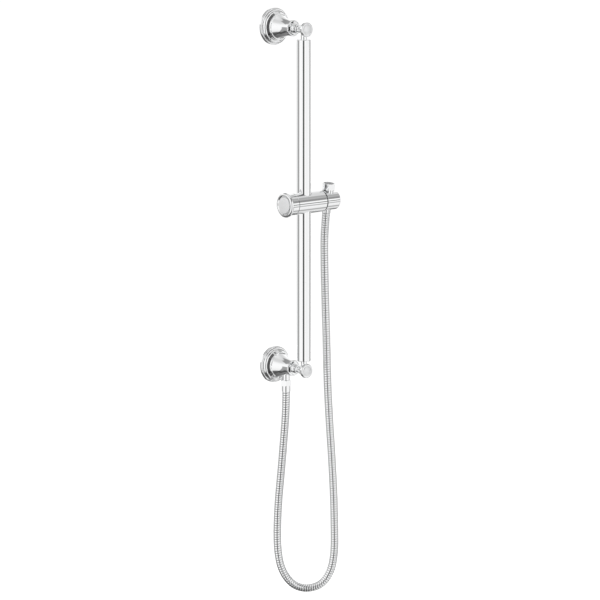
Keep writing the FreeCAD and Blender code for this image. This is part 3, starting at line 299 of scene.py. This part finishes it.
def make_hose(finishes):
    """The hose in five runs, cut where the slider, its turn and the cradle's tilt meet it.

    Each run is built as a mesh of its own and baked in place. The plan also lists two bodies and blend ends for each
    run, with the loop's ends far out so that a blend would raise the loop by half of what the slider rises and keep
    the hose's length.
    """
    line = evenly(route_points())
    rings = hose_rings(line)
    heights = line[:, 2]
    bottom = int(heights.argmin())
    outlet_cut = int(np.argmax(heights[:bottom] < OUTLET_CUT))
    after = {cut: bottom + int(np.argmax(heights[bottom:] > cut))
             for cut in (LOOP_CUT, SLIDE_CUT, TURN_CUT)}
    across = Vector(line[after[LOOP_CUT]] - line[outlet_cut]).cross(Vector((0, 0, 1))).normalized()
    middle = Vector(line[bottom])
    slide_end = SLIDE_CUT - SETTLED
    plan = (
        ("hose_outlet_run", 0, outlet_cut, "frame", "glide",
         level(SLEEVE_END), level(2 * OUTLET_CUT - SLEEVE_END),
         ("lower_ferrule", "lower_hose_nut", "lower_hose_washer")),
        ("hose_loop", outlet_cut, after[LOOP_CUT], "frame", "glide",
         middle - across * FAR, middle + across * FAR, ()),
        ("hose_rising_run", after[LOOP_CUT], after[SLIDE_CUT], "frame", "glide",
         level(2 * LOOP_CUT - slide_end), level(slide_end), ()),
        ("hose_turning_run", after[SLIDE_CUT], after[TURN_CUT], "glide", "slider",
         level(SLIDE_CUT + SETTLED), level(TURN_CUT - SETTLED), ()),
        ("hose_cradle_run", after[TURN_CUT], len(line) - 1, "slider", "cradle",
         level(TURN_CUT + SETTLED), level(SLEEVE_FOOT),
         ("upper_ferrule", "coupling_nut", "upper_hose_washer")),
    )
    for name, first, last, fixed, moving, start, end, on_it in plan:
        piece, path, length = hose_run(name, line, rings, first, last, finishes)
        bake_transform(piece)


# Materials

def new_material(name, color, metallic, roughness):
    """A material with a plain shader. Returns it with its node tree and shader."""
    material = bpy.data.materials.new(name)
    material.use_nodes = True
    tree = material.node_tree
    shader = tree.nodes["Principled BSDF"]
    shader.inputs["Base Color"].default_value = (*color, 1)
    shader.inputs["Metallic"].default_value = metallic
    shader.inputs["Roughness"].default_value = roughness
    return material, tree, shader


def add_noise(tree, scale, detail, stretch=(1, 1, 1)):
    """Noise in the object's own space."""
    place = tree.nodes.new("ShaderNodeTexCoord")
    mapping = tree.nodes.new("ShaderNodeMapping")
    mapping.inputs["Scale"].default_value = stretch
    noise = tree.nodes.new("ShaderNodeTexNoise")
    noise.inputs["Scale"].default_value = scale
    noise.inputs["Detail"].default_value = detail
    tree.links.new(place.outputs["Object"], mapping.inputs["Vector"])
    tree.links.new(mapping.outputs["Vector"], noise.inputs["Vector"])
    return noise


def vary(tree, noise, socket, low, high):
    """Let noise move a shader's number between two values."""
    span = tree.nodes.new("ShaderNodeMapRange")
    span.inputs["To Min"].default_value = low
    span.inputs["To Max"].default_value = high
    tree.links.new(noise.outputs["Fac"], span.inputs["Value"])
    tree.links.new(span.outputs["Result"], socket)


def add_bump(tree, shader, noise, height):
    """Let noise raise the surface by a height in metres."""
    bump = tree.nodes.new("ShaderNodeBump")
    bump.inputs["Distance"].default_value = height
    tree.links.new(noise.outputs["Fac"], bump.inputs["Height"])
    tree.links.new(bump.outputs["Normal"], shader.inputs["Normal"])


def vary_color(tree, noise, shader, dark, light):
    """Let noise move the shader's colour between two colours."""
    ramp = tree.nodes.new("ShaderNodeValToRGB")
    ramp.color_ramp.elements[0].color = (*dark, 1)
    ramp.color_ramp.elements[1].color = (*light, 1)
    tree.links.new(noise.outputs["Fac"], ramp.inputs["Fac"])
    tree.links.new(ramp.outputs["Color"], shader.inputs["Base Color"])


def chrome(name, color, low, high, wave, metallic):
    """Plated metal: bright, with faint buffing marks and a slow wave left by the polishing wheel."""
    material, tree, shader = new_material(name, color, metallic, low)
    vary(tree, add_noise(tree, *BUFFING_MARKS), shader.inputs["Roughness"], low, high)
    add_bump(tree, shader, add_noise(tree, *POLISHING_WAVE), wave)
    return material


def steel(name, color, stretch):
    """Turned or drawn steel with fine marks along one direction."""
    material, tree, shader = new_material(name, color, 1, sum(STEEL_ROUGHNESS) / 2)
    marks = add_noise(tree, *STEEL_MARKS, stretch)
    vary(tree, marks, shader.inputs["Roughness"], *STEEL_ROUGHNESS)
    add_bump(tree, shader, marks, STEEL_MARK_HEIGHT)
    return material


def moulded(name, dark, light, roughness, grain):
    """Moulded plastic or rubber with a fine grain."""
    material, tree, shader = new_material(name, light, 0, roughness)
    noise = add_noise(tree, *MOULD_GRAIN)
    vary_color(tree, noise, shader, dark, light)
    vary(tree, noise, shader.inputs["Roughness"], roughness - GRAIN_ROUGHNESS, roughness + GRAIN_ROUGHNESS)
    add_bump(tree, shader, noise, grain)
    return material


def make_materials():
    """Finishes by name: the record's slots, the satin faces, the cut thread and the painted shade of the hose's
    grooves.
    """
    kinds = ((chrome, CHROMES), (steel, STEELS), (moulded, MOULDINGS))
    return {row[0]: make(*row) for make, rows in kinds for row in rows}


def dress(materials):
    """Give every node its finish."""
    for row in frame["record"]["subparts"]:
        name = row["node"]
        finish = SATIN_FINISHES.get(name, row["material_slot"])
        data = nodes[name].data
        data.materials.clear()
        data.materials.append(materials[finish])


def dull_the_mouth(material):
    """Give the coupling nut's thread the duller finish of a cut surface."""
    nut = nodes["coupling_nut"]
    nut.data.materials.append(material)
    for face in nut.data.polygons:
        off = nut.matrix_world @ face.center - MOUTH_FOOT
        along = off.dot(MOUTH_AXIS)
        if along > 0 and (off - along * MOUTH_AXIS).length < MOUTH_RADIUS:
            face.material_index = 1


def make_spring():
    """The brake spring as a piece of its own: a copy of its mesh baked in place, with the model's spring hidden."""
    spring = add_object("pressed_spring", nodes["brake_spring"].data.copy())
    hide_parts("brake_spring")
    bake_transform(spring)


# Studio

def math_node(tree, operation, *values):
    """A math node. Each value is a number or an output to read."""
    node = tree.nodes.new("ShaderNodeMath")
    node.operation = operation
    for socket, value in zip(node.inputs, values):
        if isinstance(value, (int, float)):
            socket.default_value = value
        else:
            tree.links.new(value, socket)
    return node.outputs[0]


def step_at(tree, value, edge, softness, rising):
    """0 before an edge and 1 after it, or the other way round, with a soft change between."""
    span = tree.nodes.new("ShaderNodeMapRange")
    span.interpolation_type = "SMOOTHSTEP"
    span.inputs["From Min"].default_value = edge - softness / 2
    span.inputs["From Max"].default_value = edge + softness / 2
    span.inputs["To Min"].default_value = 0 if rising else 1
    span.inputs["To Max"].default_value = 1 if rising else 0
    tree.links.new(value, span.inputs["Value"])
    return span.outputs["Result"]


def within(tree, value, first, last, softness):
    """1 between two values and 0 elsewhere."""
    return math_node(tree, "MULTIPLY", step_at(tree, value, first, softness, True),
                     step_at(tree, value, last, softness, False))


def level_curve(tree, elevation):
    """The studio's brightness by elevation alone."""
    levels = tree.nodes.new("ShaderNodeFloatCurve")
    curve = levels.mapping.curves[0]
    for point, (height, value) in zip(curve.points, (STUDIO_LEVELS[0], STUDIO_LEVELS[-1])):
        point.location = (height / ELEVATION_SPAN + 0.5, value)
    for height, value in STUDIO_LEVELS[1:-1]:
        curve.points.new(height / ELEVATION_SPAN + 0.5, value)
    levels.mapping.update()
    along = math_node(tree, "MULTIPLY_ADD", elevation, 1 / ELEVATION_SPAN, 0.5)
    tree.links.new(along, levels.inputs["Value"])
    return levels.outputs["Value"]


def studio_brightness(tree):
    """White all round, with the grey and dark panels that give polished metal its bands."""
    place = tree.nodes.new("ShaderNodeTexCoord")
    split = tree.nodes.new("ShaderNodeSeparateXYZ")
    tree.links.new(place.outputs["Generated"], split.inputs["Vector"])
    x, y, z = split.outputs
    turned = math_node(tree, "ARCTAN2", x, math_node(tree, "MULTIPLY", y, -1))
    azimuth = math_node(tree, "FLOORED_MODULO", math_node(tree, "DEGREES", turned), FULL_TURN)
    elevation = math_node(tree, "DEGREES", math_node(tree, "ARCSINE", z))
    brightness = level_curve(tree, elevation)
    for _, first, last, low, high, share, softness in PANELS:
        panel = math_node(tree, "MULTIPLY", within(tree, azimuth, first, last, softness),
                          within(tree, elevation, low, high, softness))
        left = math_node(tree, "SUBTRACT", 1, math_node(tree, "MULTIPLY", panel, 1 - share))
        brightness = math_node(tree, "MULTIPLY", brightness, left)
    return brightness


def make_world():
    """White to the camera, the studio's panels to polished metal and an even fill to the rest."""
    world = bpy.data.worlds.new("studio")
    world.use_nodes = True
    scene.world = world
    tree = world.node_tree
    background = tree.nodes["Background"]
    ray = tree.nodes.new("ShaderNodeLightPath")
    seen = math_node(tree, "MAXIMUM", ray.outputs["Is Camera Ray"], ray.outputs["Is Transmission Ray"])
    mirrored = math_node(tree, "MULTIPLY", ray.outputs["Is Glossy Ray"], studio_brightness(tree))
    shown = math_node(tree, "MAXIMUM", ray.outputs["Is Glossy Ray"], seen)
    fill = math_node(tree, "MULTIPLY", math_node(tree, "SUBTRACT", 1, shown), WORLD_FILL)
    strength = math_node(tree, "ADD", math_node(tree, "MAXIMUM", mirrored, seen), fill)
    tree.links.new(strength, background.inputs["Strength"])
    background.inputs["Color"].default_value = (1, 1, 1, 1)


def make_floor():
    """Pale floor that looks white and keeps the object's shadow."""
    half = FLOOR_SIZE / 2
    mesh = bpy.data.meshes.new("floor")
    corners = [(-half, -half), (half, -half), (half, half), (-half, half)]
    mesh.from_pydata([(x, y, FLOOR_HEIGHT) for x, y in corners], [], [(0, 1, 2, 3)])
    material, tree, shader = new_material("floor", FLOOR_COLOR, 0, FLOOR_ROUGHNESS)
    ray = tree.nodes.new("ShaderNodeLightPath")
    tree.links.new(math_node(tree, "MULTIPLY", ray.outputs["Is Camera Ray"], FLOOR_GLOW),
                   shader.inputs["Emission Strength"])
    shader.inputs["Emission Color"].default_value = (1, 1, 1, 1)
    mesh.materials.append(material)
    floor = add_object("floor", mesh)
    floor.visible_glossy = False


def add_softbox(name, azimuth, elevation, distance, size, power):
    """A large soft lamp that looks at the middle of the rail."""
    data = bpy.data.lights.new(name, "AREA")
    data.shape = "DISK"
    data.size = size
    data.energy = power
    lamp = add_object(name, data)
    way = towards(azimuth, elevation)
    lamp.location = RAIL_AXIS + Vector((0, 0, VIEW_HEIGHT)) + way * distance
    lamp.rotation_euler = (-way).to_track_quat("-Z", "Y").to_euler()
    lamp.visible_glossy = False


scene.view_settings.view_transform = "Standard"
make_camera()
materials = make_materials()
dress(materials)
dull_the_mouth(materials["cut_thread"])
# The hose's second finish is painted shade for its grooves
make_hose((materials["hose_chrome"], materials["hose_painted_groove_shade"]))
make_spring()
make_world()
make_floor()
for lamp_row in LAMPS:
    add_softbox(*lamp_row)
